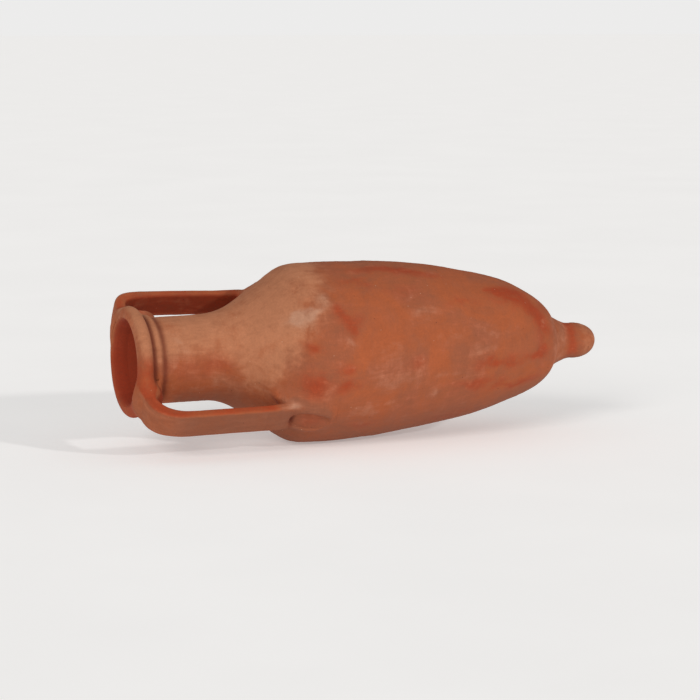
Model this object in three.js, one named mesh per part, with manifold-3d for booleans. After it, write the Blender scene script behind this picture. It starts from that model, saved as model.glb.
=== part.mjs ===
// A two-handled terracotta amphora lying on its belly, in millimetres, +Z up.
// The vessel's axis runs along +X from the mouth to the toe. The origin is on the
// surface that the belly rests on, under the middle of the vessel's length.
import * as THREE from 'three';
import { mergeVertices } from 'three/addons/utils/BufferGeometryUtils.js';
import Module from 'manifold-3d';

const wasm = await Module();
wasm.setup();

// Driving dimensions. "At" values are distances from the mouth, along the axis.
const LENGTH = 600;
const WALL = 8;
const BELLY_RADIUS = 107;
const BELLY_FLAT_FROM = 235;       // the belly is a true cylinder between these two
const BELLY_FLAT_TO = 300;
const LIP_BACK_AT = 18;
const LIP_RADIUS = 64.4;
const MOUTH_RADIUS = 48.4;
const NECK_RADIUS = 49;
const COLLAR_FOOT_AT = 46;         // the grooved collar is luted to the plain neck here
const FLARE_FROM = 84;             // the neck is a cylinder up to here, where it starts to open
const FLARE_END = [156, 79];       // the flare's inflection, where the shoulder starts
const NECK_FOOT_AT = 120;          // the neck is luted to the shoulder here
const SHOULDER_FOOT_AT = 235;      // and the shoulder to the belly here
const TAPER_END = [488, 68];       // where the belly's long taper turns into its bottom
const BODY_END_AT = 536;
const KNOB_RADIUS = 21.6;
const STUB_RADIUS = 18.5;          // the knob's root, inside its ring of luting clay
const TOE_LUTE_END_AT = 552;
const STRAP_WIDTH = 36;
const STRAP_THICKNESS = 11;
const HANDLE_ROLL = 37.4;          // degrees that the handles' plane leans from level
const SEAM = 0.3;                  // the clay slip between two pieces
const FACETS = 48;                 // sides of every turned piece

const v2 = (x, y) => new THREE.Vector2(x, y);
const v3 = (x, y) => new THREE.Vector3(x, y, 0);
const points = (pairs) => pairs.map(([x, y]) => v2(x, y));
const bezier = (a, b, c, d) => new THREE.CubicBezierCurve(v2(...a), v2(...b), v2(...c), v2(...d));

// The outer wall behind the neck's collar, as (distance from the mouth, radius).
const wall = {
  flare: bezier([FLARE_FROM, NECK_RADIUS], [112, 50], [133, 59.5], FLARE_END),
  shoulder: bezier(FLARE_END, [179, 98], [196, BELLY_RADIUS], [BELLY_FLAT_FROM, BELLY_RADIUS]),
  taper: bezier([BELLY_FLAT_TO, BELLY_RADIUS], [346, 104], [425, 91], TAPER_END),
  bowl: bezier(TAPER_END, [511, 59.5], [528, 47], [BODY_END_AT, 31]),
};

// The curve parameter at which a wall curve reaches a distance from the mouth.
function parameterAt(curve, at) {
  let low = 0;
  let high = 1;
  for (let i = 0; i < 30; i += 1) {
    const middle = (low + high) / 2;
    if (curve.getPoint(middle).x < at) low = middle;
    else high = middle;
  }
  return (low + high) / 2;
}

function slice(curve, from, to, steps) {
  const found = [];
  for (let i = 0; i <= steps; i += 1) {
    found.push(curve.getPoint(THREE.MathUtils.lerp(from, to, i / steps)));
  }
  return found;
}

// The same wall moved along its normals: inwards for the inside of the vessel.
function offset(line, distance) {
  return line.map((point, i) => {
    const before = line[Math.max(i - 1, 0)];
    const after = line[Math.min(i + 1, line.length - 1)];
    const along = after.clone().sub(before).normalize();
    return v2(point.x - along.y * distance, point.y + along.x * distance);
  });
}

// Moves the ends of an offset wall back onto the flat joints that it stops at.
function between(line, from, to) {
  const moved = line.map((point) => point.clone());
  moved[0].x = from;
  moved[moved.length - 1].x = to;
  return moved;
}

// A solid turned about the vessel's axis. The outline runs from the mouth to the toe
// on the outside and back on the inside, with one side of the turning resting flat.
function turned(outline) {
  const profile = outline.map((point) => v2(Math.max(point.y, 0), point.x));
  if (profile[0].x > 0) profile.push(profile[0].clone());
  const geometry = new THREE.LatheGeometry(profile, FACETS, Math.PI / FACETS);
  return geometry.rotateZ(-Math.PI / 2).translate(-LENGTH / 2, 0, 0);
}

function toSolid(geometry) {
  const bare = geometry.clone();
  bare.deleteAttribute('normal');
  bare.deleteAttribute('uv');
  const merged = mergeVertices(bare, 1e-4);
  return new wasm.Manifold(new wasm.Mesh({
    numProp: 3,
    vertProperties: new Float32Array(merged.attributes.position.array),
    triVerts: new Uint32Array(merged.index.array),
  }));
}

function toGeometry(solid) {
  const mesh = solid.getMesh();
  const geometry = new THREE.BufferGeometry();
  geometry.setAttribute('position', new THREE.BufferAttribute(mesh.vertProperties, 3));
  geometry.setIndex(new THREE.BufferAttribute(mesh.triVerts, 1));
  geometry.computeVertexNormals();
  return geometry;
}

function clay(name, geometry, color) {
  const material = new THREE.MeshStandardMaterial({ color, roughness: 0.9, metalness: 0 });
  const mesh = new THREE.Mesh(geometry, material);
  mesh.name = name;
  return mesh;
}

// ---- the turned pieces, mouth to toe ----

const lipOuter = points([[0, 53], [0, 58], [2, 61.6], [5, 63.8], [8.5, LIP_RADIUS], [12, 63.4],
  [15.2, 60.8], [17.3, 57.5], [LIP_BACK_AT, 54]]);
const lipInner = points([[LIP_BACK_AT, 45.5], [11, 46.4], [5.5, MOUTH_RADIUS], [1.7, 50.4]]);

// The collar: a groove under the lip, a raised ridge, and a second groove.
const collarOuter = points([[LIP_BACK_AT + SEAM, 52.5], [22.5, 51.3], [26, 53.2], [29, 55.3],
  [32, 55.2], [35, 52.6], [39, 50], [COLLAR_FOOT_AT - SEAM, NECK_RADIUS]]);
const collarInner = points([[LIP_BACK_AT + SEAM, 45.2], [36, 41.5],
  [COLLAR_FOOT_AT - SEAM, NECK_RADIUS - WALL]]);

const neckSplit = parameterAt(wall.flare, NECK_FOOT_AT);
const neckOuter = between([v2(COLLAR_FOOT_AT, NECK_RADIUS), ...slice(wall.flare, 0, neckSplit, 5)],
  COLLAR_FOOT_AT, NECK_FOOT_AT - SEAM);
const neckInner = between(offset(neckOuter, -WALL), COLLAR_FOOT_AT, NECK_FOOT_AT - SEAM);

const shoulderOuter = between([...slice(wall.flare, neckSplit, 1, 4),
  ...slice(wall.shoulder, 0, 1, 8).slice(1)], NECK_FOOT_AT, SHOULDER_FOOT_AT - SEAM);
const shoulderInner = between(offset(shoulderOuter, -WALL), NECK_FOOT_AT, SHOULDER_FOOT_AT - SEAM);

const bellyOuter = [v2(SHOULDER_FOOT_AT, BELLY_RADIUS), ...slice(wall.taper, 0, 1, 8),
  ...slice(wall.bowl, 0, 1, 5).slice(1)];
const bellyInner = [v2(SHOULDER_FOOT_AT, BELLY_RADIUS - WALL),
  ...offset(slice(wall.taper, 0, 1, 6), -WALL),
  ...slice(bezier([495, 57], [510, 49], [522, 30], [523, 0]), 0, 1, 4)];

const toeLuteOuter = slice(bezier([BODY_END_AT + SEAM, 30.6], [539, 26.5], [543, 23.2],
  [TOE_LUTE_END_AT, KNOB_RADIUS]), 0, 1, 5);
const toeLuteInner = points([[TOE_LUTE_END_AT, STUB_RADIUS + SEAM],
  [BODY_END_AT + SEAM, STUB_RADIUS + SEAM]]);

const knobOuter = [v2(BODY_END_AT + SEAM, 0), v2(BODY_END_AT + SEAM, STUB_RADIUS),
  v2(TOE_LUTE_END_AT + SEAM, STUB_RADIUS), v2(TOE_LUTE_END_AT + SEAM, KNOB_RADIUS),
  v2(560, KNOB_RADIUS - 0.6), v2(570, KNOB_RADIUS),
  ...slice(bezier([578, KNOB_RADIUS - 0.3], [590, 20.5], [LENGTH, 13], [LENGTH, 0]), 0, 1, 6)];

const inward = (line) => [...line].reverse();

// ---- the handles and the clay that lutes them on ----

// Everything inside the outer wall, grown by one seam: it trims what is stuck on.
const coreOutline = [...lipOuter.slice(1, 8), ...collarOuter.slice(0, -1),
  ...neckOuter.slice(0, -1), ...shoulderOuter, ...bellyOuter.slice(1, 4)];
const bodyCore = toSolid(turned([
  v2(-SEAM, 0),
  ...offset(coreOutline, SEAM),
  v2(bellyOuter[3].x, 0),
]));

// A flat strap with rounded edges, wider than it is thick.
function strapSection(grow) {
  const outline = [];
  const sides = 14;
  for (let i = 0; i < sides; i += 1) {
    const angle = (2 * Math.PI * i) / sides;
    const across = Math.sign(Math.cos(angle)) * Math.abs(Math.cos(angle)) ** 0.6;
    const through = Math.sign(Math.sin(angle)) * Math.abs(Math.sin(angle)) ** 0.8;
    outline.push(v2(across * (STRAP_WIDTH / 2 + grow), through * (STRAP_THICKNESS / 2 + grow)));
  }
  return new THREE.Shape(outline);
}

// Up from the lip, round a bend, straight along beside the neck, and into the shoulder.
function strapPath([reach, endReach]) {
  const path = new THREE.CurvePath();
  const bendEnd = 46;
  const straightEnd = 150;
  path.add(new THREE.LineCurve3(v3(11, 52), v3(11, 72)));
  path.add(new THREE.CubicBezierCurve3(v3(11, 72), v3(11, 90), v3(22, reach), v3(bendEnd, reach)));
  path.add(new THREE.LineCurve3(v3(bendEnd, reach), v3(straightEnd, endReach)));
  path.add(new THREE.CubicBezierCurve3(v3(straightEnd, endReach), v3(165, endReach),
    v3(178, endReach - 3), v3(193, endReach - 11)));
  return path;
}

function strap(reach, grow) {
  const geometry = new THREE.ExtrudeGeometry(strapSection(grow), {
    extrudePath: strapPath(reach), steps: 26, bevelEnabled: false,
  });
  return geometry.translate(-LENGTH / 2, 0, 0);
}

// A flattened lump of clay, tilted to lie along the wall.
function lump([at, radius], [along, through, across], tilt) {
  const geometry = new THREE.SphereGeometry(1, 22, 12).scale(along, through, across);
  geometry.rotateZ(THREE.MathUtils.degToRad(tilt));
  return geometry.translate(at - LENGTH / 2, radius, 0);
}

function handleMeshes(side, roll, reach) {
  const angle = THREE.MathUtils.degToRad(roll);
  const trimmer = toSolid(strap(reach, SEAM).rotateX(angle));
  const trimmed = (geometry) => toSolid(geometry.rotateX(angle)).subtract(bodyCore);
  const rimLump = lump([12.4, 65], [11.6, 10, 25], 0);
  const footLump = lump([185, 97], [29, 9, 27], 27);
  return [
    clay(`${side}_handle`, toGeometry(trimmed(strap(reach, 0))), 0xb5714c),
    clay(`${side}_handle_rim_lute`, toGeometry(trimmed(rimLump).subtract(trimmer)), 0xb97850),
    clay(`${side}_handle_foot_lute`, toGeometry(trimmed(footLump).subtract(trimmer)), 0xbf8a66),
  ];
}

// ---- the vessel ----

const group = new THREE.Group();
group.name = 'amphora';
group.position.z = BELLY_RADIUS * Math.cos(Math.PI / FACETS);
group.add(
  clay('rim_lip', turned([...lipOuter, ...lipInner]), 0xbd8159),
  clay('neck_collar', turned([...collarOuter, ...inward(collarInner)]), 0xb88660),
  clay('neck', turned([...neckOuter, ...inward(neckInner)]), 0xc09a78),
  clay('shoulder', turned([...shoulderOuter, ...inward(shoulderInner)]), 0xbb8c68),
  clay('belly', turned([...inward(bellyInner), ...bellyOuter, v2(BODY_END_AT, 0)]), 0xa9633f),
  clay('toe_lute', turned([...toeLuteOuter, ...toeLuteInner]), 0xb98a69),
  clay('toe_knob', turned(knobOuter), 0xac7150),
  ...handleMeshes('front', 180 + HANDLE_ROLL, [103, 100.5]),
  ...handleMeshes('rear', HANDLE_ROLL, [97.5, 94]),
);

export default group;
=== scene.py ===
"""The looks of a terracotta amphora lying on its belly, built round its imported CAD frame.

Lengths are millimetres until a mesh is made. A place on the vessel is given by its distance
from the mouth along the axis ("at"), its distance from the axis ("radius") and its angle
round the axis, which is 0 at the front (-Y), 90 on top (+Z) and 180 at the back.
"""
import math

import bmesh
import bpy
import numpy as np
import openvdb
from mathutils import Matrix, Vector


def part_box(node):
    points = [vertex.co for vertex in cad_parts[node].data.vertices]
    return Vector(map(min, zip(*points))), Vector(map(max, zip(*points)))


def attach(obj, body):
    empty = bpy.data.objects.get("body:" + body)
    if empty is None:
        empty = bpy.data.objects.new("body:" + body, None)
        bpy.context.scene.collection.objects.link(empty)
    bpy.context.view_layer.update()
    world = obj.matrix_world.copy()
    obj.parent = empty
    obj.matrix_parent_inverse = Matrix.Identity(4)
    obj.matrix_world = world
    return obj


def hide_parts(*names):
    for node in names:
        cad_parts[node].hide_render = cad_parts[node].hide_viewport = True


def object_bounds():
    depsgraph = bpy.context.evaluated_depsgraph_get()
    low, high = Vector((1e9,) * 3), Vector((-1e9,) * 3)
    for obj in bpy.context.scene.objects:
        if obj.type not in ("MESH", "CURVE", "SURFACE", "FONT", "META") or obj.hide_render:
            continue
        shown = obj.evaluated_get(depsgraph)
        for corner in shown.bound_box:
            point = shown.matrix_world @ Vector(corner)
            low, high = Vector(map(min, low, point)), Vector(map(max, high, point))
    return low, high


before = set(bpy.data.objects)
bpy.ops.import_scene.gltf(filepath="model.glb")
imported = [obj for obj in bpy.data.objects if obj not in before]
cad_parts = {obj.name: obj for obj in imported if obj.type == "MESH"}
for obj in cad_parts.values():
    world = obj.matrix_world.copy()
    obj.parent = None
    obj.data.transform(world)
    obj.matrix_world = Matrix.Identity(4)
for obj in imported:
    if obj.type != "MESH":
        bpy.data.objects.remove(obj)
cad_low, cad_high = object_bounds()

MM = 0.001

# ---- sizes taken from the frame ----

lip_low, lip_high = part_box("rim_lip")
belly_low, belly_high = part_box("belly")
MOUTH_X = lip_low.x
AXIS_Z = (belly_low.z + belly_high.z) / 2
LIP_RADIUS = (lip_high.z - lip_low.z) / 2 / MM
LIP_BACK_AT = (lip_high.x - MOUTH_X) / MM
COLLAR_FOOT_AT = (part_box("neck")[0].x - MOUTH_X) / MM
NECK_FOOT_AT = (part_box("shoulder")[0].x - MOUTH_X) / MM
SHOULDER_FOOT_AT = (belly_low.x - MOUTH_X) / MM
BODY_END_AT = (belly_high.x - MOUTH_X) / MM
TOE_JOIN_END_AT = (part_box("toe_lute")[1].x - MOUTH_X) / MM
KNOB_RADIUS = (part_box("toe_knob")[1].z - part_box("toe_knob")[0].z) / 2 / MM
LENGTH = (cad_high.x - cad_low.x) / MM

# ---- the vessel's own drawing, up to about 3 mm off the frame's plainer one ----

WALL = 8
NECK_RADIUS = 50.8
MOUTH_RADIUS = 48.4
LIP_FRONT_AT = 0.5
LIP_EDGE_RADIUS = 52.6
MOUTH_SKEW = 0.035                 # how far out of square the mouth is, as a slope
FLARE_FROM = 96
FLARE_END = (160, 80.5)
SHOULDER_TOP = (225, 107.6)
BELLY_MIDDLE = (300, 106.3)
TAPER_END = (488, 69.9)
BOTTOM_FROM = 494                  # from here the inner wall turns in to the closed bottom
HANDLE_ROLL = math.radians(37.4)   # the handles' plane leans this far from level
STRAP_THICKNESS = 11

# What each strap has, in the handle's own plane:
#   angle   where it stands round the axis
#   reach   its middle's distance from the axis at the end of the bend and at the foot
#   root    how far its root is from the mouth
#   bend    how far from the mouth the bend is pulled, and where it ends
#   aside   how far its middle is off the plane
#   heel    the lump of clay under its root, as a middle and half sizes
#   foot    the pad of clay on the shoulder, as a height and a half height
STRAPS = {
    "front": {"angle": -HANDLE_ROLL, "reach": (104, 102.6), "root": 11, "bend": (26, 52),
              "width": 36, "aside": 0, "heel": [(19, 62, 0), (13, 11, 15)], "foot": (100, 8)},
    "rear": {"angle": math.pi - HANDLE_ROLL, "reach": (97.5, 93.4), "root": 9, "bend": (16, 39),
             "width": 34.5, "aside": -2.6, "heel": [(30, 55, 4), (20, 8.5, 22)], "foot": (97, 4.5)},
}
RIM_CUT_RADIUS = 78                # a handle's rim join ends at this distance from the axis
FOOT_CUT_AT = 146                  # and its foot join starts at this distance from the mouth
SINK = 4                           # how deep a handle's clay goes into the vessel's wall
LIP_HOLLOW = 53.6                  # no clay of a handle is nearer the axis than this
DISH_AT = 201                      # the thumb's dish in a handle's foot, and how far aside it is
DISH_ASIDE = -6
SMEAR_AT = 178                     # the smear of clay on top of the foot

# ---- how fine the meshes are ----

SIDES = 320
OUTSIDE_STEP = 2.0
INSIDE_STEP = 4.0
VOXEL = 0.85


# ---- lines ----

def line(*points):
    return np.array(points, float)


def bezier(a, b, c, d, steps=60):
    t = np.linspace(0, 1, steps + 1)[:, None]
    a, b, c, d = (np.array(p, float) for p in (a, b, c, d))
    return (1 - t) ** 3 * a + 3 * (1 - t) ** 2 * t * b + 3 * (1 - t) * t ** 2 * c + t ** 3 * d


def joined(*parts):
    """One line from several, without the points that two of them share."""
    points = [parts[0]]
    for part in parts[1:]:
        same = np.allclose(points[-1][-1], part[0], atol=1e-6)
        points.append(part[1:] if same else part)
    return np.vstack(points)


def curve_through(points, steps=8):
    """A smooth line through a few points."""
    p = np.array(points, float)
    p = np.vstack([2 * p[0] - p[1], p, 2 * p[-1] - p[-2]])
    t = np.linspace(0, 1, steps, endpoint=False)[:, None]
    found = []
    for a, b, c, d in zip(p, p[1:], p[2:], p[3:]):
        bend = 2 * a - 5 * b + 4 * c - d
        found.append(0.5 * (2 * b + (c - a) * t + bend * t ** 2 + (3 * b - a - 3 * c + d) * t ** 3))
    return np.vstack(found + [p[-2][None]])


def resampled(points, step):
    """The same line with its points about one step apart, both ends kept."""
    gaps = np.linalg.norm(np.diff(points, axis=0), axis=1)
    along = np.concatenate([[0], np.cumsum(gaps)])
    count = max(2, int(round(along[-1] / step)) + 1)
    places = np.linspace(0, along[-1], count)
    return np.column_stack([np.interp(places, along, points[:, k]) for k in range(points.shape[1])])


def moved_in(points, distance):
    """The line moved along its normals towards the axis."""
    along = np.gradient(points, axis=0)
    along /= np.linalg.norm(along, axis=1)[:, None]
    return points + np.column_stack([along[:, 1], -along[:, 0]]) * distance


def part_of(points, low, high):
    """The stretch of a line between two distances from the mouth, cut exactly there."""
    inside = (points[:, 0] > low) & (points[:, 0] < high)
    first = [low, np.interp(low, points[:, 0], points[:, 1])]
    last = [high, np.interp(high, points[:, 0], points[:, 1])]
    return np.vstack([first, points[inside], last])


lip_outside = curve_through([(LIP_FRONT_AT, LIP_EDGE_RADIUS), (LIP_FRONT_AT + 0.1, 56.4), (2.2, 61.3),
                             (5.2, 64.2), (9, LIP_RADIUS + 0.8), (12.6, 64), (15.8, 61.4),
                             (LIP_BACK_AT, 57.4)])
lip_inside = curve_through([(LIP_FRONT_AT, LIP_EDGE_RADIUS), (1.9, 50.4), (6.5, MOUTH_RADIUS), (12, 46.4),
                            (LIP_BACK_AT, 45.4)])
collar = curve_through([(LIP_BACK_AT, 57.4), (20, 54), (22.4, 52.2), (24.8, 53.0), (27.2, 54.0),
                        (29.8, 53.3), (32.4, 51.2), (35.4, 50.0), (40, 50.5), (47, NECK_RADIUS),
                        (66, NECK_RADIUS)])
wall = joined(
    collar,
    bezier((FLARE_FROM, NECK_RADIUS), (121, 51), (136, 65), FLARE_END),
    bezier(FLARE_END, (194, 102.5), (193, 108.5), SHOULDER_TOP),
    bezier(SHOULDER_TOP, (250, 109), (275, 106.6), BELLY_MIDDLE),
    bezier(BELLY_MIDDLE, (345, 101), (423, 95.5), TAPER_END),
    bezier(TAPER_END, (512, 59.5), (529, 49.6), (BODY_END_AT, 35.5)),
)
inner_wall = joined(
    curve_through([(LIP_BACK_AT, 45.4), (26, 43.4), (40, 41.4), (66, NECK_RADIUS - WALL)]),
    moved_in(part_of(wall, FLARE_FROM, TAPER_END[0]), WALL),
    bezier((495, 57), (510, 49), (522, 30), (523, 0)),
)
toe_join_outside = bezier((BODY_END_AT, 35.5), (538, 32.6), (544.5, 28.6), (TOE_JOIN_END_AT, 25.5))
knob_outside = joined(
    curve_through([(TOE_JOIN_END_AT, 25.5), (558, 23.1), (564.5, 21.7), (571, KNOB_RADIUS + 0.4)]),
    bezier((571, KNOB_RADIUS + 0.4), (584, 22), (LENGTH + 2, 16), (LENGTH + 2, 0)),
)


# ---- what a hand leaves ----

class Noise:
    """Smooth noise from -1 to 1, the same on every run."""

    CELLS = 64

    def __init__(self, seed):
        shape = (self.CELLS,) * 3
        self.table = np.random.default_rng(seed).uniform(-1, 1, shape).astype(np.float32)

    def __call__(self, place, size):
        scaled = [axis / size for axis in place]
        base = [np.floor(axis) for axis in scaled]
        fade = [smooth(axis - low) for axis, low in zip(scaled, base)]
        cell = [low.astype(int) for low in base]
        total = 0
        for corner in range(8):
            step = [(corner >> k) & 1 for k in range(3)]
            weight = 1
            for k in range(3):
                weight = weight * (fade[k] if step[k] else 1 - fade[k])
            index = tuple((cell[k] + step[k]) % self.CELLS for k in range(3))
            total = total + weight * self.table[index]
        return total


def smooth(t):
    t = np.clip(t, 0, 1)
    return t * t * (3 - 2 * t)


def rise(value, low, high):
    """0 below low, 1 above high, and smooth between."""
    return smooth((value - low) / (high - low))


def bell(value, centre, half_width):
    return np.exp(-((value - centre) / half_width) ** 2)


dents = Noise(11)
ridges = Noise(12)
swell = Noise(13)
stain = Noise(14)


def skin_place(at, angle):
    """Noise coordinates that meet all the way round and don't change from piece to piece."""
    return at, 80 * np.cos(angle), 80 * np.sin(angle)


def drift(at):
    """How far the hand-built axis wanders to the back and up, as (y, z)."""
    up = 3.7 * bell(at, 362, 72) + 3.4 * bell(at, 470, 42)
    down = 0.7 * (1 - rise(at, 30, 110)) + 1.4 * rise(at, 530, 570)
    return 0.8 * np.sin(at / 95), up - down


def skew(at, y):
    """How far along the axis the mouth's end is pushed, because it isn't quite square."""
    return -MOUTH_SKEW * y * (1 - rise(at, 24, 80))


def outside_marks(at, angle):
    """How far the outer wall stands out of its drawing."""
    place = skin_place(at, angle)
    body = rise(at, 110, 230)
    out_of_round = 0.25 + 0.45 * body
    total = out_of_round * np.sin(2 * angle + 0.7 + at / 260)
    total += 0.4 * out_of_round * np.sin(3 * angle + 2.1 - at / 170)
    total += (0.15 + 0.4 * body) * dents(place, 58)
    total += (0.10 + 0.18 * body) * dents(place, 19)
    wandering = at + 2.2 * swell(place, 70)
    strength = 0.5 + 0.5 * swell((at, place[1] + 300, place[2]), 45)
    rilling = np.sin(2 * np.pi * wandering / 8.5) + 0.7 * np.sin(2 * np.pi * wandering / 13.7)
    total += 0.10 * strength * rilling * rise(at, 44, 70)
    total += 0.05 * ridges((at * 5, place[1] * 0.5, place[2] * 0.5), 8)
    total += 0.7 * (1 - rise(at, 14, 24)) * rise(-np.sin(angle), 0.1, 0.9)
    total += 0.6 * bell(at, 108, 20) * (1 + np.sin(angle))
    return total


def inside_marks(at, angle):
    """The deeper finger marks that throwing leaves inside."""
    place = skin_place(at, angle)
    wandering = at + 3 * swell(place, 60)
    total = 0.45 * np.sin(2 * np.pi * wandering / 10.5) * rise(at, 30, 60)
    return total + 0.5 * dents(place, 45)


# ---- where the fired clay changes colour, and where shade and light are painted on it ----

# Each is (at, angle in degrees, half length, half width, strength). Angles of 120 and more are on
# the back.
RED_BLOTCHES = [
    (112, 0, 30, 16, 0.8), (60, -5, 26, 14, 0.5), (174, 56, 12, 8, 0.4), (196, 11, 10, 8, 0.9),
    (201, -13, 18, 13, 0.8), (233, 31, 13, 9, 0.6), (235, -1, 12, 8, 0.6), (242, -15, 11, 10, 0.7),
    (246, 24, 14, 10, 0.7), (262, 52, 22, 8, 0.5), (300, 68, 44, 9, 0.6), (345, 64, 36, 9, 0.6),
    (318, 44, 26, 12, 0.35), (270, -46, 18, 9, 0.5), (330, -6, 16, 8, 0.35), (398, 38, 26, 9, 0.4),
    (411, -24, 30, 7, 0.6), (438, -10, 30, 8, 0.7), (452, 52, 30, 9, 0.7), (480, 47, 32, 18, 0.9),
    (498, 36, 16, 16, 0.4), (470, -34, 40, 9, 0.8), (492, -8, 22, 8, 0.6), (503, 10, 15, 26, 0.45),
    (395, -60, 40, 10, 0.6), (300, 120, 40, 16, 0.7), (410, 150, 34, 14, 0.6),
    (250, 190, 24, 18, 0.7), (350, 215, 40, 16, 0.6), (455, 235, 30, 12, 0.7),
]
PALE_PATCHES = [
    (187, 31, 13, 12, 1.0), (212, 41, 11, 9, 0.7), (196, 34, 20, 6, 0.6), (243, 16, 10, 6, 0.4),
    (284, 4, 40, 14, 0.30), (298, -16, 34, 13, 0.35), (52, 20, 9, 30, 0.45), (84, -32, 34, 6, 0.5),
    (336, 30, 20, 7, 0.4), (322, 42, 20, 8, 0.4), (352, -26, 11, 6, 0.45), (357, -14, 8, 5, 0.35),
    (381, -15, 24, 6, 0.3), (296, -28, 8, 6, 0.35), (436, 16, 26, 7, 0.25), (420, 2, 30, 7, 0.3),
    (360, 12, 34, 8, 0.3), (270, -32, 24, 9, 0.45), (225, 160, 18, 12, 0.7), (330, 175, 34, 10, 0.5),
    (400, 200, 26, 9, 0.4), (290, 250, 30, 10, 0.5),
]


def patches(places, at, angle, radius):
    """A soft field with one ragged bump for each patch in the list."""
    radius = np.maximum(radius, 30)
    place = skin_place(at, angle)
    aside = skin_place(at + 400, angle)
    ragged_at = at + 9 * stain(place, 26) + 4 * stain(place, 9)
    ragged_angle = angle + (8 * stain(aside, 24) + 4 * stain(aside, 8)) / radius
    total = np.zeros_like(at)
    for patch_at, degrees, half_length, half_width, strength in places:
        turn = np.angle(np.exp(1j * (ragged_angle - math.radians(degrees))))
        across = turn * radius / half_width
        total += strength * np.exp(-((ragged_at - patch_at) / half_length) ** 2 - across ** 2)
    return np.clip(total, 0, 1)


def bloom_edge(at, angle):
    """Where the buff bloom of the neck and shoulder gives way to the belly's orange."""
    place = skin_place(at + 800, angle)
    return 178 + 50 * np.sin(angle) + 16 * stain(place, 34) + 8 * stain(place, 12)


def vessel_colours(at, angle, radius):
    """The soft colour masks of the vessel's skin, which every piece shares."""
    upward = np.sin(angle)

    # The bloom covers the upper side, leaves the lip's lower half, and is on the knob's tip too.
    bloom_low = 0.25 - 0.80 * rise(at, 85, 155)
    upper = rise(upward, bloom_low - 0.25, bloom_low + 0.3)
    bloom = 1 - rise(at - bloom_edge(at, angle), -30, 26)
    bloom = bloom * (0.30 + 0.70 * upper)
    lip_zone = 1 - rise(at, 14, 26)
    bloom = bloom * (1 - lip_zone * (1 - rise(upward, -0.14, 0.44)))
    bloom = bloom * (0.25 + 0.75 * rise(at, 0.5, 5)) + 0.45 * rise(at, 574, 582)

    # The two grooves under the lip darkened as painted shade, a paler ring round the toe as painted
    # light, and a red band on the knob's neck.
    groove = 0.95 * rise(at, 16.5, 20.5) * (1 - rise(at, 22, 26)) + 0.85 * bell(at, 34.5, 3.6)
    toe_band = 0.7 * bell(at, 563, 8)
    # Painted light: a paler ring round the toe's slope.
    lit_toe_ring = rise(at, 516, 532) * (1 - rise(at, 548, 560))

    # The lip's lower half is redder, and the underside is darker and greyer as painted shade.
    lip_side = lip_zone * (1 - rise(upward, -0.1, 0.4))
    red = patches(RED_BLOTCHES, at, angle, radius) + toe_band + 0.7 * lip_side
    dusk_and_underside_shade = 0.75 * rise(-upward, 0.35, 0.95) * rise(at, 40, 60)
    return {
        "bloom": bloom,
        "dusk_and_underside_shade": dusk_and_underside_shade,
        "red": np.clip(red, 0, 1),
        "pale": np.clip(patches(PALE_PATCHES, at, angle, radius) + 0.4 * lit_toe_ring, 0, 1),
        "groove": np.clip(groove, 0, 1),
        "inside": np.zeros_like(at),
    }


# ---- meshes ----

def to_row(at, y, z):
    """Vessel millimetres to the frame's metres."""
    return np.column_stack([MOUTH_X + at * MM, y * MM, AXIS_Z + z * MM])


def add_attributes(mesh, masks):
    for key, values in masks.items():
        kind, field = ("FLOAT_VECTOR", "vector") if values.ndim == 2 else ("FLOAT", "value")
        attribute = mesh.attributes.new(key, kind, "POINT")
        attribute.data.foreach_set(field, values.astype(np.float32).ravel())


def add_object(name, mesh):
    piece = bpy.data.objects.new(name, mesh)
    bpy.context.scene.collection.objects.link(piece)
    return piece


def wall_loop(outside, inside):
    """The whole outline of a turned wall as (points, is inside, is a corner)."""
    points = []
    within = []
    for flag, step, lines in ((0, OUTSIDE_STEP, outside), (1, INSIDE_STEP, inside)):
        for stretch in lines:
            for point in resampled(stretch, step):
                if not points or not np.allclose(point, points[-1], atol=1e-6):
                    points.append(point)
                    within.append(flag)
    if np.allclose(points[0], points[-1], atol=1e-6):
        points.pop()
        within.pop()
    points = np.array(points)
    after = np.roll(points, -1, axis=0) - points
    before = points - np.roll(points, 1, axis=0)
    turn = np.arctan2(before[:, 0] * after[:, 1] - before[:, 1] * after[:, 0],
                      (before * after).sum(axis=1))
    return points, np.array(within, float), np.abs(turn) > math.radians(40)


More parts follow.
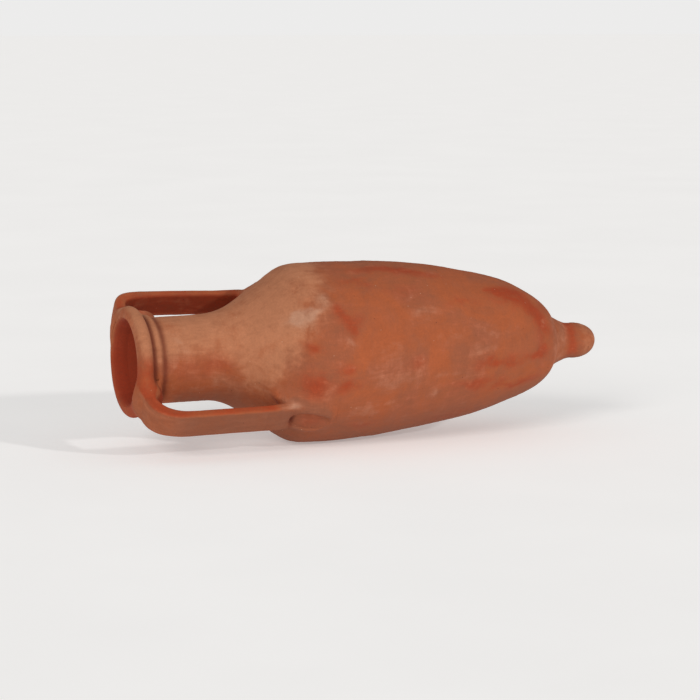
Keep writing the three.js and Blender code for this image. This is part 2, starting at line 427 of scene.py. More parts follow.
def turned_piece(name, outside, inside=()):
    """A closed solid turned about the axis, with the marks of the hand on it.

    outside is a list of lines from the mouth to the toe, and inside goes on from its end
    back to the mouth. The outline closes on itself, or starts and ends on the axis.
    """
    loop, within, corner = wall_loop(outside, inside)
    at, radius = loop.T
    angle = np.linspace(0, 2 * np.pi, SIDES, endpoint=False)
    at_grid, angle_grid = np.meshgrid(at, angle, indexing="ij")
    marks = np.where(within[:, None] > 0, inside_marks(at_grid, angle_grid),
                     outside_marks(at_grid, angle_grid))
    spread = radius[:, None] + marks * rise(radius, 0, 24)[:, None]
    y_drift, z_drift = drift(at_grid)
    y = -np.cos(angle_grid) * spread + y_drift
    z = np.sin(angle_grid) * spread + z_drift

    # A ring of vertices for each point of the outline, or one vertex where it is on the axis.
    on_axis = radius < 1e-6
    sizes = np.where(on_axis, 1, SIDES)
    starts = np.concatenate([[0], np.cumsum(sizes)[:-1]])
    rings = [[start] * SIDES if pole else list(range(start, start + SIDES))
             for start, pole in zip(starts.tolist(), on_axis)]
    chosen = np.concatenate([row * SIDES + np.arange(size) for row, size in enumerate(sizes)])
    faces = []
    for row, here in enumerate(rings):
        ahead = rings[(row + 1) % len(rings)]
        if on_axis[row] and on_axis[(row + 1) % len(rings)]:
            continue
        for k in range(SIDES):
            n = (k + 1) % SIDES
            corners = [here[k], ahead[k], ahead[n], here[n]]
            faces.append([c for i, c in enumerate(corners) if c != corners[i - 1]])

    at_all, angle_all, spread_all = (grid.ravel()[chosen] for grid in (at_grid, angle_grid, spread))
    y_all, z_all = y.ravel()[chosen], z.ravel()[chosen]
    mesh = bpy.data.meshes.new(name)
    mesh.from_pydata(to_row(at_all + skew(at_all, y_all), y_all, z_all).tolist(), [], faces)
    mesh.polygons.foreach_set("use_smooth", np.ones(len(faces), bool))
    ring_of = np.repeat(np.arange(len(rings)), sizes)
    edges = np.empty(len(mesh.edges) * 2, np.int32)
    mesh.edges.foreach_get("vertices", edges)
    first, second = ring_of[edges.reshape(-1, 2)].T
    sharp = mesh.attributes.new("sharp_edge", "BOOLEAN", "EDGE")
    sharp.data.foreach_set("value", (first == second) & corner[first])

    masks = vessel_colours(at_all, angle_all, spread_all)
    depth = np.repeat(within, sizes)
    # The inside gets redder clay, darkened as painted shade.
    masks["inside"] = depth * rise(at_all, 0.5, 4)
    masks["bloom"] = masks["bloom"] * (1 - depth)
    masks["groove"] = masks["groove"] * (1 - depth)
    masks["grain"] = np.column_stack([at_all, spread_all * -np.cos(angle_all),
                                      spread_all * np.sin(angle_all)])
    add_attributes(mesh, masks)
    mesh.update()
    return add_object(name, mesh)


# ---- handles: a pulled strap, and the clay that was smeared over its two ends ----

def union(a, b, blend):
    """The nearer of two distances, with their meeting rounded over the blend width."""
    overlap = np.maximum(blend - np.abs(a - b), 0) / blend
    return np.minimum(a, b) - overlap ** 2 * blend / 4


def cut(a, b, blend):
    """The first solid without the second, with the new edge rounded."""
    return -union(-a, b, blend)


def ellipsoid(place, centre, half_sizes, tilt=0.0):
    """Distance to a flattened lump that is tilted in the handle's plane."""
    at, reach, across = (axis - middle for axis, middle in zip(place, centre))
    turned_at = at * math.cos(tilt) + reach * math.sin(tilt)
    turned_reach = -at * math.sin(tilt) + reach * math.cos(tilt)
    parts = [turned_at, turned_reach, across]
    near = np.sqrt(sum((p / h) ** 2 for p, h in zip(parts, half_sizes)))
    far = np.sqrt(sum((p / h ** 2) ** 2 for p, h in zip(parts, half_sizes)))
    return near * (near - 1) / np.maximum(far, 1e-6)


def nearest_on(path, at, reach):
    """For each place, the distance along a flat path and the distance to its left side."""
    best = np.full(at.shape, 1e9)
    along = np.zeros(at.shape)
    side = np.zeros(at.shape)
    travelled = 0.0
    for start, end in zip(path, path[1:]):
        step = end - start
        length = float(np.hypot(*step))
        direction = step / length
        da, dr = at - start[0], reach - start[1]
        t = np.clip(da * direction[0] + dr * direction[1], 0, length)
        away_a, away_r = da - t * direction[0], dr - t * direction[1]
        distance = away_a ** 2 + away_r ** 2
        nearer = distance < best
        best = np.where(nearer, distance, best)
        along = np.where(nearer, travelled + t, along)
        signed = np.sign(away_r * direction[0] - away_a * direction[1]) * np.sqrt(distance)
        side = np.where(nearer, signed, side)
        travelled += length
    return along, side, travelled


def strap_path(strap):
    """The strap's middle: up from the lip, round a bend, beside the neck and into the shoulder."""
    reach, end_reach = strap["reach"]
    root, (bend_from, bend_to) = strap["root"], strap["bend"]
    return resampled(joined(
        line((root, 44), (root, 72)),
        bezier((root, 72), (root, 92), (bend_from, reach), (bend_to, reach)),
        line((bend_to, reach), (150, end_reach)),
        bezier((150, end_reach), (165, end_reach), (178, end_reach - 3), (193, end_reach - 11)),
        line((193, end_reach - 11), (200, end_reach - 16)),
    ), 2.5)


class Lookup:
    """A table of values over two axes, read between its entries."""

    def __init__(self, rows, columns, function):
        self.low = (rows[0], columns[0])
        self.step = (rows[1] - rows[0], columns[1] - columns[0])
        self.table = function(*np.meshgrid(rows, columns, indexing="ij"))

    def __call__(self, a, b):
        a, b = ((np.asarray(value) - low) / step
                for value, low, step in zip((a, b), self.low, self.step))
        a, b = (np.clip(value, 0, size - 1.001) for value, size in zip((a, b), self.table.shape))
        i, j = a.astype(int), b.astype(int)
        u, v = a - i, b - j
        low = self.table[i, j] * (1 - u) + self.table[i + 1, j] * u
        high = self.table[i, j + 1] * (1 - u) + self.table[i + 1, j + 1] * u
        return low * (1 - v) + high * v


def wall_distance(at, radius):
    """Signed distance to the outer wall's outline, from the lip to the middle of the belly."""
    edge = joined(lip_outside, part_of(wall, LIP_BACK_AT, BELLY_MIDDLE[0]))
    outline = resampled(joined(line((LIP_FRONT_AT, 0), edge[0]), edge), 1.0)
    best = np.full(at.shape, 1e9)
    for start, end in zip(outline, outline[1:]):
        step = end - start
        length_squared = max(float(step @ step), 1e-9)
        t = np.clip(((at - start[0]) * step[0] + (radius - start[1]) * step[1]) / length_squared, 0, 1)
        away = (at - start[0] - t * step[0]) ** 2 + (radius - start[1] - t * step[1]) ** 2
        best = np.minimum(best, away)
    inside = (at > LIP_FRONT_AT) & (radius < np.interp(at, edge[:, 0], edge[:, 1]))
    return np.where(inside, -1, 1) * np.sqrt(best)


# A handle asks for these two at millions of places, so both are read from tables.
distance_to_wall = Lookup(np.arange(-20, 250, 0.5), np.arange(30, 130, 0.5), wall_distance)
marks_near = Lookup(np.arange(-20, 260), np.arange(-181, 183) * math.radians(1), outside_marks)


def handle_frame(angle):
    """The directions, as (y, z), out along a handle and across it."""
    out = np.array([-math.cos(angle), math.sin(angle)])
    across = np.array([out[1], -out[0]])
    if across[1] < 0:
        across = -across
    return out, across


def polar(at, reach, across, out, sideways):
    """Handle coordinates to the vessel's own, with the axis's drift and skew taken off."""
    y_drift, z_drift = drift(at)
    y = reach * out[0] + across * sideways[0] - y_drift
    z = reach * out[1] + across * sideways[1] - z_drift
    return at - skew(at, y), np.hypot(y, z), np.arctan2(z, -y)


def strap_distance(place, strap):
    """Distance to the strap, how far along it each place is, and how far out of its middle."""
    at, height, across = place
    across = across - strap["aside"]
    along, through, length = nearest_on(strap_path(strap), at, height)
    share = along / length
    root = 1 - rise(share, 0.10, 0.30)
    bend = bell(share, 0.21, 0.12)
    foot = rise(share, 0.72, 1.0)
    half_width = strap["width"] / 2 + 1.5 * root + 3.0 * foot
    crown = 1 - 0.10 * (across / half_width) ** 2
    half_thickness = (STRAP_THICKNESS / 2 + 0.4 * root + 1.8 * bend - 0.3 * foot) * crown
    corner = 3.4
    wide = np.abs(across) - half_width + corner
    thick = np.abs(through + 1.8 * bend) - half_thickness + corner
    outside = np.hypot(np.maximum(wide, 0), np.maximum(thick, 0))
    return outside + np.minimum(np.maximum(wide, thick), 0) - corner, along, through


def handle_shape(strap):
    """The whole handle as one closed surface, in (at, height, across) millimetres."""
    out, sideways = handle_frame(strap["angle"])
    axes = [np.arange(-6, 232, VOXEL), np.arange(44, 116, VOXEL), np.arange(-34, 34, VOXEL)]
    at, height, across = np.meshgrid(*axes, indexing="ij", sparse=True)
    wall_at, radius, turn = polar(at, height, across, out, sideways)
    body = distance_to_wall(wall_at, radius) - marks_near(wall_at, turn)
    place = (at, height, across)
    pulled, along, through = strap_distance(place, strap)
    foot_height, foot_half = strap["foot"]
    lumps = [
        (ellipsoid(place, (12, 63, 0), (10.5, 9, 24)), 9),
        (ellipsoid(place, (15, 67, -15), (10, 8.5, 12)), 5),
        (ellipsoid(place, *strap["heel"]), 15),
        (ellipsoid(place, (194, foot_height, 0), (31, foot_half, 23), math.radians(17)), 6),
        (ellipsoid(place, (SMEAR_AT, 92, 15), (19, 5.5, 8), math.radians(24)), 5),
    ]
    clay = pulled
    for lump, blend in lumps:
        clay = union(clay, lump, blend)
    blend = 10 + 2 * rise(at, 100, 150)
    shape = union(clay, body + 0.15, blend)

    # A thumb's oval dish in the foot, shallower towards the strap.
    dish = (np.sqrt(((at - DISH_AT) / 22) ** 2 + ((across - DISH_ASIDE) / 14) ** 2) - 1) * 14
    dish_floor = 1.5 + 5 * (1 - rise(at, 174, 198))
    thumb = np.maximum(dish_floor - body, dish - 0.2 * body)
    shape = cut(shape, thumb, 3.2)

    # Dents, and the lines that pulling left along the strap.
    near = np.abs(shape) < 5
    noise_place = [np.broadcast_to(axis, shape.shape)[near] for axis in place]
    marks = 0.40 * dents(noise_place, 21) + 0.16 * dents(noise_place, 8)
    lengthwise = ((along + 0 * shape)[near] * 0.12 + 200, noise_place[2],
                  (through + 0 * shape)[near])
    marks += 0.16 * ridges(lengthwise, 4.5)
    shape[near] -= marks * rise((body + 0 * shape)[near], -0.2, 2.5)

    # It goes a little way into the wall, not into the mouth, and ends where the blend does.
    shape = np.maximum(shape, -(body + SINK))
    shape = np.maximum(shape, LIP_HOLLOW - radius)
    shape = np.maximum(shape, clay - blend)

    grid = openvdb.FloatGrid(5.0)
    grid.copyFromArray(np.ascontiguousarray(shape / VOXEL, dtype=np.float32))
    points, quads = grid.convertToQuads(isovalue=0.0)
    return points.astype(float) * VOXEL + [axis[0] for axis in axes], quads


def bisected(shape, normal, offset, keep_above):
    """Cuts a closed mesh with a plane and closes the cut with one flat face."""
    geometry = shape.verts[:] + shape.edges[:] + shape.faces[:]
    result = bmesh.ops.bisect_plane(shape, geom=geometry, plane_co=Vector(normal) * offset,
                                    plane_no=Vector(normal), clear_outer=not keep_above,
                                    clear_inner=keep_above)
    edges = [e for e in result["geom_cut"] if isinstance(e, bmesh.types.BMEdge)]
    filled = bmesh.ops.holes_fill(shape, edges=edges, sides=0)
    for face in filled["faces"]:
        face.smooth = False


ALONG = (1, 0, 0)
OUTWARD = (0, 1, 0)
HANDLE_PARTS = {
    "rim_join": [(OUTWARD, RIM_CUT_RADIUS, False), (ALONG, FOOT_CUT_AT, False)],
    "strap": [(OUTWARD, RIM_CUT_RADIUS, True), (ALONG, FOOT_CUT_AT, False)],
    "foot_join": [(ALONG, FOOT_CUT_AT, True)],
}
HANDLE_NODES = {"rim_join": "handle_rim_lute", "strap": "handle", "foot_join": "handle_foot_lute"}


def make_handle(side, strap):
    """The three pieces of one handle, cut from one smooth shape so that they meet exactly."""
    points, quads = handle_shape(strap)
    found = {}
    for part, planes in HANDLE_PARTS.items():
        shape = bmesh.new()
        vertices = [shape.verts.new(p) for p in points]
        for quad in quads:
            shape.faces.new([vertices[i] for i in quad]).smooth = True
        bmesh.ops.recalc_face_normals(shape, faces=shape.faces)
        for normal, offset, keep_above in planes:
            bisected(shape, normal, offset, keep_above)
        keep_largest(shape)
        mesh = bpy.data.meshes.new(f"{side}_{part}")
        shape.to_mesh(mesh)
        shape.free()
        paint_handle(mesh, part, strap)
        found[part] = add_object(f"{side}_{part}", mesh)
    return found


def keep_largest(shape):
    """Deletes every loose island but the largest."""
    islands = []
    seen = set()
    for start in shape.verts:
        if start in seen:
            continue
        island = []
        stack = [start]
        seen.add(start)
        while stack:
            vertex = stack.pop()
            island.append(vertex)
            for edge in vertex.link_edges:
                other = edge.other_vert(vertex)
                if other not in seen:
                    seen.add(other)
                    stack.append(other)
        islands.append(island)
    islands.sort(key=len)
    for island in islands[:-1]:
        bmesh.ops.delete(shape, geom=island, context="VERTS")


def paint_handle(mesh, part, strap):
    """Colour masks for a handle piece, and its move from handle to frame coordinates."""
    local = np.empty(len(mesh.vertices) * 3, np.float32)
    mesh.vertices.foreach_get("co", local)
    local = local.reshape(-1, 3).astype(float)
    at, height, across = local.T
    out, sideways = handle_frame(strap["angle"])
    wall_at, radius, turn = polar(at, height, across, out, sideways)
    _, along, through = strap_distance((at, height, across), strap)
    wall_height = distance_to_wall(wall_at, radius) - marks_near(wall_at, turn)
    masks = vessel_colours(wall_at, turn, radius)
    raised = rise(wall_height, 0.3, 7)
    edge = rise(np.abs(across) - 0.55 * np.abs(through), 11, 16.5) * (1 - rise(at, 150, 172))
    # Painted shade: the strap's inner face is made redder and darker, and loses its pale marks.
    shaded_inner_face = rise(-through, 1.0, 4.5) * (1 - rise(np.abs(across), 12, 17))
    on_strap = raised * (1 - rise(at, 150, 172))
    red = 0.85 * edge + 1.0 * shaded_inner_face
    masks["red"] = np.clip(masks["red"] * (1 - on_strap) + red * on_strap, 0, 1)
    at_foot = rise(at, 148, 158) * rise(height, 91, 95)
    outer_face = np.maximum(rise(through, 1.0, 4.5), at_foot) * (1 - edge)
    masks["bloom"] = masks["bloom"] * (1 - raised) + raised * (0.15 * outer_face)
    dish = bell(at, DISH_AT, 21) * bell(across, DISH_ASIDE, 15) * rise(height, 88, 96)
    # Painted shade: the edge of the thumb's dish is darkened.
    shaded_dish_edge = bell(at, 179, 3.5) * bell(across, -7, 12) * rise(height, 88, 96)
    smear = bell(at, SMEAR_AT, 14) * bell(across, 18, 5)
    masks["red"] = np.clip(masks["red"] + 0.35 * dish + 0.2 * shaded_dish_edge, 0, 1)
    pale = np.clip(masks["pale"] * (1 - raised) + 0.9 * smear, 0, 1)
    masks["pale"] = pale - 0.7 * shaded_inner_face * on_strap
    weathered = outer_face * (0.3 + 0.6 * rise(at, 25, 60)) * (1 - 0.5 * dish) * (1 - smear)
    # The vessel's painted underside shade gives way to the weathered outer face on the strap.
    masks["dusk_and_underside_shade"] = masks["dusk_and_underside_shade"] * (1 - raised) + raised * weathered
    masks["groove"] = masks["groove"] * (1 - raised) + 0.8 * shaded_dish_edge + 0.4 * shaded_inner_face * on_strap
    masks["grain"] = np.column_stack([along, across, through]) if part == "strap" else (
        np.column_stack([at, radius * -np.cos(turn), radius * np.sin(turn)]))
    add_attributes(mesh, masks)
    y = height * out[0] + across * sideways[0]
    z = height * out[1] + across * sideways[1]
    mesh.vertices.foreach_set("co", to_row(at, y, z).astype(np.float32).ravel())
    if np.linalg.det(np.array([[1, 0, 0], [0, *out], [0, *sideways]])) < 0:
        mesh.flip_normals()
    mesh.update()


# ---- the clay's material ----

def srgb(red, green, blue):
    """A screen colour from 0 to 255 as the linear colour that a node takes."""
    def linear(value):
        value /= 255
        return value / 12.92 if value <= 0.04045 else ((value + 0.055) / 1.055) ** 2.4
    return linear(red), linear(green), linear(blue), 1.0


ORANGE = srgb(170, 90, 54)
BROWN = srgb(156, 90, 62)
RED = srgb(160, 62, 31)
BUFF = srgb(184, 121, 87)
PALE = srgb(190, 146, 121)
# Painted shade: the darker, greyer brown of the underside; on the straps it colours their weathered outer
# face.
DUSK_AND_UNDERSIDE_SHADE = srgb(136, 84, 62)
# Painted shade: the dark red that the grooves, the strap's inner face and the dish's edge are darkened
# to.
SHADE_RED = srgb(104, 40, 24)
# Redder clay for the inside, darkened as painted shade.
INSIDE_RED_AND_SHADE = srgb(152, 54, 30)
DARK_SPECK = srgb(90, 42, 28)
LIGHT_SPECK = srgb(222, 186, 158)


class Graph:
    """A short way to write a material's nodes."""

    def __init__(self, material):
        self.tree = material.node_tree
        self.tree.nodes.clear()

    def add(self, kind, **settings):
        node = self.tree.nodes.new(kind)
        for key, value in settings.items():
            setattr(node, key, value)
        return node

    def join(self, source, target):
        self.tree.links.new(source, target)

    def attribute(self, name, vector=False):
        node = self.add("ShaderNodeAttribute", attribute_name=name)
        return node.outputs["Vector" if vector else "Fac"]

    def scaled(self, vector, x, y, z):
        node = self.add("ShaderNodeVectorMath", operation="MULTIPLY")
        self.join(vector, node.inputs[0])
        node.inputs[1].default_value = (x, y, z)
        return node.outputs[0]

    def noise(self, vector, scale, detail=3.0, rough=0.55, distortion=0.0):
        node = self.add("ShaderNodeTexNoise")
        self.join(vector, node.inputs["Vector"])
        node.inputs["Scale"].default_value = scale
        node.inputs["Detail"].default_value = detail
        node.inputs["Roughness"].default_value = rough
        node.inputs["Distortion"].default_value = distortion
        return node.outputs["Fac"]

    def math(self, operation, a, b=None, c=None):
        node = self.add("ShaderNodeMath", operation=operation)
        for value, socket in zip((a, b, c), node.inputs):
            if value is None:
                continue
            if isinstance(value, (int, float)):
                socket.default_value = value
            else:
                self.join(value, socket)
        return node.outputs[0]

    def ramp(self, value, low, high, to_low=0.0, to_high=1.0):
        node = self.add("ShaderNodeMapRange", interpolation_type="SMOOTHSTEP")
        self.join(value, node.inputs["Value"])
        node.inputs["From Min"].default_value = low
        node.inputs["From Max"].default_value = high
        node.inputs["To Min"].default_value = to_low
        node.inputs["To Max"].default_value = to_high
        return node.outputs["Result"]

    def mix(self, factor, a, b, blend="MIX"):
        node = self.add("ShaderNodeMix", data_type="RGBA", blend_type=blend)
        for value, socket in ((factor, node.inputs[0]), (a, node.inputs[6]), (b, node.inputs[7])):
            if isinstance(value, (int, float, tuple)):
                socket.default_value = value
            else:
                self.join(value, socket)
        return node.outputs[2]

    def specks(self, vector, scale, size, share, seed):
        """Spots of one size at the centres of a few of the cells."""
        moved = self.add("ShaderNodeVectorMath", operation="ADD")
        self.join(vector, moved.inputs[0])
        moved.inputs[1].default_value = (seed, seed * 2.3, seed * 3.7)
        node = self.add("ShaderNodeTexVoronoi", feature="F1")
        self.join(moved.outputs[0], node.inputs["Vector"])
        node.inputs["Scale"].default_value = scale
        spot = self.ramp(node.outputs["Distance"], size, size * 0.45)
        split = self.add("ShaderNodeSeparateColor")
        self.join(node.outputs["Color"], split.inputs[0])
        chosen = self.math("LESS_THAN", split.outputs[0], share)
        return self.math("MULTIPLY", spot, chosen)


def clay_material(name, pulled=False):
    """Unglazed fired clay, whose streaks follow the wheel, or the strap if it was pulled."""
    material = bpy.data.materials.new(name)
    material.use_nodes = True
    g = Graph(material)
    place = g.add("ShaderNodeTexCoord").outputs["Object"]
    grain = g.attribute("grain", vector=True)

    # Streaks: rings that the wheel left, and lines that a hand pulled along the vessel.
    around = g.noise(g.scaled(grain, 0.13, 0.02, 0.02), 1.0, 5.0, 0.6, 1.6)
    lengthwise = g.noise(g.scaled(grain, 0.018, 0.08, 0.08), 1.0, 5.0, 0.6, 1.6)
    streaks = lengthwise if pulled else g.math("MULTIPLY_ADD", around, 0.30, g.math(
        "MULTIPLY", lengthwise, 0.70))

    cloud = g.noise(place, 16.0, 6.0, 0.62, 0.6)
    mottle = g.noise(place, 62.0, 5.0, 0.6, 0.3)
    fine = g.noise(place, 420.0, 3.0, 0.6)
    grit = g.noise(place, 1300.0, 2.0, 0.6)

    colour = g.mix(g.ramp(cloud, 0.35, 0.65), ORANGE, BROWN)
    redder = g.math("ADD", g.attribute("red"), g.math("MULTIPLY_ADD", mottle, 1.3, -0.65))
    redder = g.math("ADD", redder, g.math("MULTIPLY_ADD", streaks, 1.3, -0.65))
    redder = g.math("ADD", redder, g.math("MULTIPLY_ADD", cloud, 1.8, -0.9))
    colour = g.mix(g.ramp(redder, -0.05, 1.1, 0.0, 0.95), colour, RED)
    bloom = g.math("ADD", g.attribute("bloom"), g.math("MULTIPLY_ADD", cloud, 1.5, -0.75))
    bloom = g.math("ADD", bloom, g.math("MULTIPLY_ADD", mottle, 1.1, -0.55))
    bloom = g.math("ADD", bloom, g.math("MULTIPLY_ADD", streaks, 1.2, -0.6))
    colour = g.mix(g.ramp(bloom, 0.0, 1.15, 0.0, 0.95), colour, BUFF)
    paler = g.math("ADD", g.attribute("pale"), g.math("MULTIPLY_ADD", mottle, 1.1, -0.55))
    paler = g.math("ADD", paler, g.math("MULTIPLY_ADD", streaks, 0.8, -0.4))
    paler = g.math("ADD", paler, g.math("MULTIPLY_ADD", cloud, 0.9, -0.45))
    colour = g.mix(g.ramp(paler, 0.1, 1.4, 0.0, 0.68), colour, PALE)
    # Painted shade: the underside is darkened and greyed.
    dusk_and_shade_mix = g.math("ADD", g.attribute("dusk_and_underside_shade"), g.math("MULTIPLY_ADD", mottle, 1.0, -0.5))
    colour = g.mix(g.ramp(dusk_and_shade_mix, 0.1, 1.0, 0.0, 0.85), colour, DUSK_AND_UNDERSIDE_SHADE)
    # Painted shade: the grooves, the strap's inner face and the dish's edge are darkened.
    colour = g.mix(g.math("MULTIPLY", g.attribute("groove"), 0.9), colour, SHADE_RED)
    # Painted shade: the inside is darkened to a deep red.
    colour = g.mix(g.math("MULTIPLY", g.attribute("inside"), 0.9), colour, INSIDE_RED_AND_SHADE)

    # Smaller variation: value drifts with the streaks and the grain.
    shade = g.math("MULTIPLY_ADD", streaks, 0.34, 0.83)
    shade = g.math("MULTIPLY", shade, g.math("MULTIPLY_ADD", mottle, 0.30, 0.85))
    shade = g.math("MULTIPLY", shade, g.math("MULTIPLY_ADD", fine, 0.34, 0.83))
    shade = g.math("MULTIPLY", shade, g.math("MULTIPLY_ADD", grit, 0.16, 0.92))
    tint = g.add("ShaderNodeCombineColor")
    for socket in tint.inputs[:3]:
        g.join(shade, socket)
    colour = g.mix(1.0, colour, tint.outputs[0], "MULTIPLY")

    dark = g.specks(place, 115.0, 0.11, 0.10, 3.0)
    light = g.specks(place, 150.0, 0.10, 0.12, 8.0)
    pits = g.specks(place, 70.0, 0.10, 0.07, 5.0)
    colour = g.mix(g.math("MULTIPLY", dark, 0.6), colour, DARK_SPECK)
    colour = g.mix(g.math("MULTIPLY", light, 0.55), colour, LIGHT_SPECK)
    colour = g.mix(g.math("MULTIPLY", pits, 0.5), colour, DARK_SPECK)

    # The surface: grain, the drag marks of sponge and fingers, and small pits.
    drag = g.noise(g.scaled(grain, 0.02, 0.9, 0.9) if pulled else g.scaled(grain, 1.1, 0.05, 0.05),
                   1.0, 3.0, 0.6)
    height = g.math("MULTIPLY_ADD", grit, 0.18, g.math("MULTIPLY", fine, 0.45))
    height = g.math("MULTIPLY_ADD", drag, 0.35, height)
    height = g.math("MULTIPLY_ADD", mottle, 0.5, height)
    height = g.math("MULTIPLY_ADD", pits, -1.6, height)
    height = g.math("MULTIPLY_ADD", dark, -0.5, height)
    bump = g.add("ShaderNodeBump")
    bump.inputs["Strength"].default_value = 0.45
    bump.inputs["Distance"].default_value = 0.0007
    g.join(height, bump.inputs["Height"])

    shader = g.add("ShaderNodeBsdfPrincipled")
    shader.inputs["Specular IOR Level"].default_value = 0.22
    g.join(colour, shader.inputs["Base Color"])
    g.join(g.ramp(fine, 0.3, 0.7, 0.80, 0.95), shader.inputs["Roughness"])
    g.join(bump.outputs[0], shader.inputs["Normal"])
    output = g.add("ShaderNodeOutputMaterial")
    g.join(shader.outputs[0], output.inputs["Surface"])
    return material


# ---- putting the amphora together ----

VESSEL_CLAY = clay_material("vessel_clay")
STRAP_CLAY = clay_material("strap_clay", pulled=True)


def finish_piece(piece, node, material):
    piece.data.materials.append(material)
    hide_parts(node)
    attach(piece, "root")


def make_vessel():
    ends = [
        ("collar_wall", "neck_collar", "neck_clay", LIP_BACK_AT, COLLAR_FOOT_AT),
        ("neck_wall", "neck", "neck_clay", COLLAR_FOOT_AT, NECK_FOOT_AT),
        ("shoulder_wall", "shoulder", "shoulder_clay", NECK_FOOT_AT, SHOULDER_FOOT_AT),
    ]
    lip_back = line(lip_outside[-1], lip_inside[-1])
    finish_piece(turned_piece("lip", [lip_outside], [lip_back, lip_inside[::-1]]),
                 "rim_lip", VESSEL_CLAY)
    for name, node, slot, start, end in ends:
        outer = part_of(wall, start, end)
        inner = part_of(inner_wall, start, end)[::-1]
        toe_face = line(outer[-1], inner[0])
        mouth_face = line(inner[-1], outer[0])
        piece = turned_piece(name, [outer], [toe_face, inner, mouth_face])
        finish_piece(piece, node, VESSEL_CLAY)
    outer = part_of(wall, SHOULDER_FOOT_AT, BODY_END_AT)
    inner = np.vstack([part_of(inner_wall, SHOULDER_FOOT_AT, BOTTOM_FROM),
                       inner_wall[inner_wall[:, 0] > BOTTOM_FROM]])[::-1]
    mouth_face = line(inner[-1], outer[0])
    bottom = line(outer[-1], (BODY_END_AT, 0))
    finish_piece(turned_piece("belly_wall", [outer, bottom], [inner, mouth_face]),
                 "belly", VESSEL_CLAY)


def make_toe():
    """The ring of luting clay, and the knob, whose root is inside the ring."""
    root = KNOB_RADIUS - 3.5
    root_side = line((BODY_END_AT, root), (TOE_JOIN_END_AT, root))
    end_face = line(toe_join_outside[-1], root_side[-1])
    start_face = line(root_side[0], toe_join_outside[0])
    ring = turned_piece("toe_join", [toe_join_outside, end_face, root_side[::-1], start_face])
    finish_piece(ring, "toe_lute", VESSEL_CLAY)
    front = line((BODY_END_AT, 0), root_side[0])
    step = line(root_side[-1], knob_outside[0])
    finish_piece(turned_piece("knob", [front, root_side, step, knob_outside]),
                 "toe_knob", VESSEL_CLAY)


def make_handles():
    for side, strap in STRAPS.items():
        for part, piece in make_handle(side, strap).items():
            material = STRAP_CLAY if part == "strap" else VESSEL_CLAY
            finish_piece(piece, f"{side}_{HANDLE_NODES[part]}", material)


# ---- floor, light and camera ----

FLOOR_HALF = 60.0                  # metres, so that its edge is far beyond the view
BOARD_COLOUR = (0.83, 0.825, 0.82, 1.0)
TABLE_GLOW = 0.36                  # how strongly the table is lit from within
ROOM_LIGHT = 0.36                  # what the room's walls give the vessel
BACKDROP = 0.842                   # and how bright they look to the camera
LENS = 120.4
CAMERA_AZIMUTH = 20
CAMERA_ELEVATION = 8.1
CAMERA_DISTANCE = 2.81
AIM_ASIDE = -0.0206                # the camera looks this far from the vessel's middle

def plain_material(name, colour, roughness, glow):
    """A pale board that is lit a little from within, like a photographer's table."""
    material = bpy.data.materials.new(name)
    material.use_nodes = True
    g = Graph(material)
    place = g.add("ShaderNodeTexCoord").outputs["Object"]
    cloud = g.noise(place, 3.0, 4.0, 0.6)
    paler = tuple(min(1.0, 1.02 * part) for part in colour[:3]) + (1.0,)
    shader = g.add("ShaderNodeBsdfPrincipled")
    shader.inputs["Roughness"].default_value = roughness
    shader.inputs["Specular IOR Level"].default_value = 0.0
    shade = g.mix(g.ramp(cloud, 0.3, 0.7), colour, paler)
    g.join(shade, shader.inputs["Base Color"])
    g.join(shade, shader.inputs["Emission Color"])
    shader.inputs["Emission Strength"].default_value = glow
    output = g.add("ShaderNodeOutputMaterial")
    g.join(shader.outputs[0], output.inputs["Surface"])
    return material


def make_floor():
    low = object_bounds()[0]
    half = FLOOR_HALF
    corners = [(-half, -half), (half, -half), (half, half), (-half, half)]
    mesh = bpy.data.meshes.new("floor")
    mesh.from_pydata([(x, y, low.z) for x, y in corners], [], [(0, 1, 2, 3)])
    floor = bpy.data.objects.new("floor", mesh)
    bpy.context.scene.collection.objects.link(floor)
    mesh.materials.append(plain_material("pale_board", BOARD_COLOUR, 0.9, TABLE_GLOW))


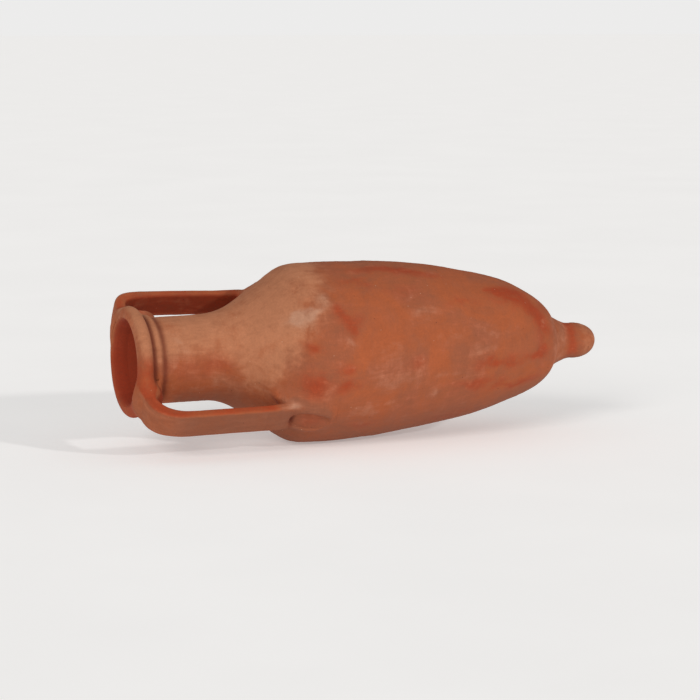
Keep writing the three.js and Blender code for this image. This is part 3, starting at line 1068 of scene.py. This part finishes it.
def direction(azimuth, elevation):
    """From the vessel towards a light or camera. Azimuth 0 is straight in front, at -Y."""
    a, e = math.radians(azimuth), math.radians(elevation)
    return Vector((-math.sin(a) * math.cos(e), -math.cos(a) * math.cos(e), math.sin(e)))


def make_light(name, azimuth, elevation, strength, spread, colour):
    """A far studio light, so that the floor is lit evenly. spread is how wide it looks."""
    data = bpy.data.lights.new(name, "SUN")
    data.energy = strength
    data.angle = math.radians(spread)
    data.color = colour
    lamp = bpy.data.objects.new(name, data)
    away = direction(azimuth, elevation)
    lamp.location = Vector((0, 0, AXIS_Z)) + away * 3
    lamp.rotation_euler = away.to_track_quat("Z", "Y").to_euler()
    bpy.context.scene.collection.objects.link(lamp)


def make_lights():
    make_light("key", 45, 30, 1.05, 26, (1.0, 0.98, 0.95))
    make_light("low_fill", 0, 3, 0.12, 36, (1.0, 0.99, 0.97))
    make_light("right_key", -35, 22, 0.95, 3, (1.0, 0.98, 0.96))
    world = bpy.data.worlds.new("studio")
    world.use_nodes = True
    nodes, links = world.node_tree.nodes, world.node_tree.links
    background = nodes["Background"]
    background.inputs["Color"].default_value = (1.0, 0.995, 0.99, 1.0)
    path = nodes.new("ShaderNodeLightPath")
    seen = nodes.new("ShaderNodeMapRange")
    seen.inputs["To Min"].default_value = ROOM_LIGHT
    seen.inputs["To Max"].default_value = BACKDROP
    links.new(path.outputs["Is Camera Ray"], seen.inputs["Value"])
    links.new(seen.outputs["Result"], background.inputs["Strength"])
    bpy.context.scene.world = world


def make_camera():
    """A long lens, round to the mouth's side and a little above."""
    data = bpy.data.cameras.new("camera")
    data.sensor_width = 36
    data.lens = LENS
    data.clip_end = 100
    camera = bpy.data.objects.new("camera", data)
    middle = (cad_low.x + cad_high.x) / 2
    away = direction(CAMERA_AZIMUTH, CAMERA_ELEVATION)
    camera.location = Vector((middle + AIM_ASIDE, 0, AXIS_Z)) + away * CAMERA_DISTANCE
    camera.rotation_euler = away.to_track_quat("Z", "Y").to_euler()
    bpy.context.scene.collection.objects.link(camera)
    bpy.context.scene.camera = camera


make_camera()
make_vessel()
make_toe()
make_handles()
make_floor()
make_lights()
bpy.context.scene.view_settings.view_transform = "Standard"
